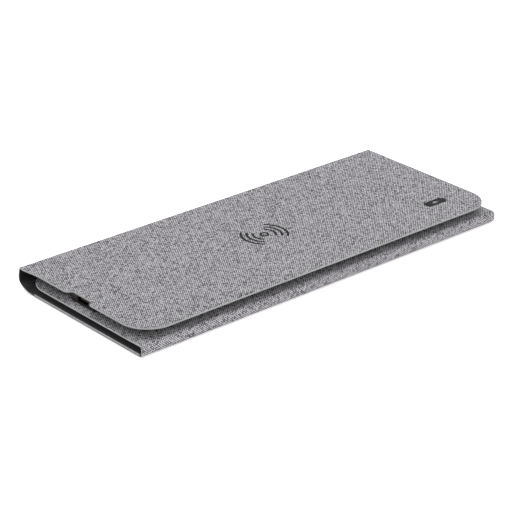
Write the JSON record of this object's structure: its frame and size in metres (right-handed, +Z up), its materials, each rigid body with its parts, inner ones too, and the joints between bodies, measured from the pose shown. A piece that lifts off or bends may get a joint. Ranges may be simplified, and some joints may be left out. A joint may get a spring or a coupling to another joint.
{
  "type": "wireless charging mat",
  "caption": "Folding fabric desk mat, closed, with a wireless charging module and a USB-C port under its top flap.",
  "frame": {"origin": "middle of the closed mat's footprint, on the surface that it lies on", "axes": "+X along the folds, from the plug notch to the other end; +Y from the front fold to the spine; +Z up out of the charging face"},
  "size_m": [0.241, 0.099, 0.0119],
  "materials": {
    "heather_fabric": "plain woven heather grey polyester, matt",
    "dark_lining": "fine charcoal brushed lining, matt",
    "grey_board": "light grey cut board edge, matt",
    "black_film": "black adhesive film",
    "ink": "matt black screen print that follows the weave",
    "module_plastic": "fine spark-eroded black plastic",
    "screw_steel": "black nickel plated steel",
    "ferrite": "sintered ferrite, dark grey",
    "copper_wire": "enamelled litz wire",
    "circuit_board": "green solder mask",
    "chip_resin": "black moulded resin",
    "inductor_body": "pressed powder, dark grey",
    "ceramic_tan": "tan ceramic",
    "gold_plate": "gold plated"
  },
  "bodies": {
    "base": {"base_fabric": "heather_fabric", "base_adhesive_film": "black_film", "base_board": "grey_board", "base_lining": "dark_lining", "front_fold_fabric": "heather_fabric", "front_fold_lining": "dark_lining"},
    "spine": {"spine_fabric": "heather_fabric", "spine_lining": "dark_lining"},
    "inner_flap": {"inner_flap_fabric": "heather_fabric", "inner_flap_board": "grey_board", "inner_flap_lining": "dark_lining"},
    "outer_flap": {"outer_flap_fabric": "heather_fabric", "outer_flap_board": "grey_board", "outer_flap_lining": "dark_lining", "charge_icon": "ink", "battery_mark": "ink", "module_adhesive": "black_film", "module_cover": "module_plastic", "module_tray": "module_plastic", "tray_screws": "screw_steel", "ferrite_plate": "ferrite", "charging_coil": "copper_wire", "coil_leads": "copper_wire", "circuit_board": "circuit_board", "power_controller": "chip_resin", "bridge_driver": "chip_resin", "power_inductor": "inductor_body", "resonant_capacitors": "ceramic_tan", "filter_capacitors": "ceramic_tan", "usb_c_shell": "gold_plate", "usb_c_insulator": "chip_resin", "usb_c_contacts": "gold_plate"}
  },
  "joints": [
    {"name": "spine_fold", "type": "hinge", "parent": "base", "child": "spine", "pos_m": [0, 0.04707, 0.00242], "axis": [-1, 0, 0], "range_deg": [0, 90]},
    {"name": "outer_flap_fold", "type": "hinge", "parent": "spine", "child": "outer_flap", "pos_m": [0, 0.0482, 0.0119], "axis": [-1, 0, 0], "range_deg": [0, 90.7]},
    {"name": "inner_flap_fold", "type": "hinge", "parent": "base", "child": "inner_flap", "pos_m": [0, -0.0475, 0.0061], "axis": [1, 0, 0], "range_deg": [-1.3, 0]}
  ]
}
